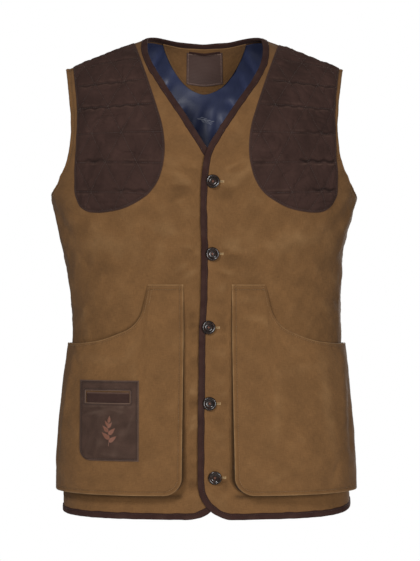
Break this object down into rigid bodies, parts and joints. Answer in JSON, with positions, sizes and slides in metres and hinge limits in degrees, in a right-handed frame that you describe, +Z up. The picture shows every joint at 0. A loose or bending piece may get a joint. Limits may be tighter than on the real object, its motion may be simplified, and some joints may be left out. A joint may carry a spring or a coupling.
{
  "type": "shooting gilet",
  "caption": "Sleeveless buttoned gilet in its worn, hollow form, with bound edges, quilted shoulder patches and bellows pockets.",
  "frame": {"origin": "where the wearer carries it: midway between the two shoulder seams, at the height of their middles", "axes": "+Z up as worn, the front faces -Y, +X to the wearer's left"},
  "size_m": [0.4602, 0.2596, 0.7159],
  "materials": {
    "canvas": "matte washed cotton canvas",
    "suede": "napped suede, quilted",
    "trim_leather": "soft leather, slightly worn",
    "binding": "matte folded tape",
    "satin": "satin",
    "label_cloth": "woven, bare",
    "button": "satin horn look"
  },
  "bodies": {
    "root": {"back": "canvas", "front_left": "canvas", "front_right": "canvas", "pocket_left": "canvas", "pocket_right": "canvas", "pocket_gusset_left": "canvas", "pocket_gusset_right": "canvas", "neck_facing": "canvas", "recoil_patch_left": "suede", "recoil_patch_right": "suede", "patch_pocket": "trim_leather", "patch_pocket_welt": "trim_leather", "binding_front_left": "binding", "binding_front_right": "binding", "binding_neck_back": "binding", "binding_hem_back": "binding", "hang_loop": "binding", "lining_back": "satin", "neck_label": "label_cloth", "button_1": "button", "button_2": "button", "button_3": "button", "button_4": "button", "button_5": "button"}
  },
  "joints": []
}
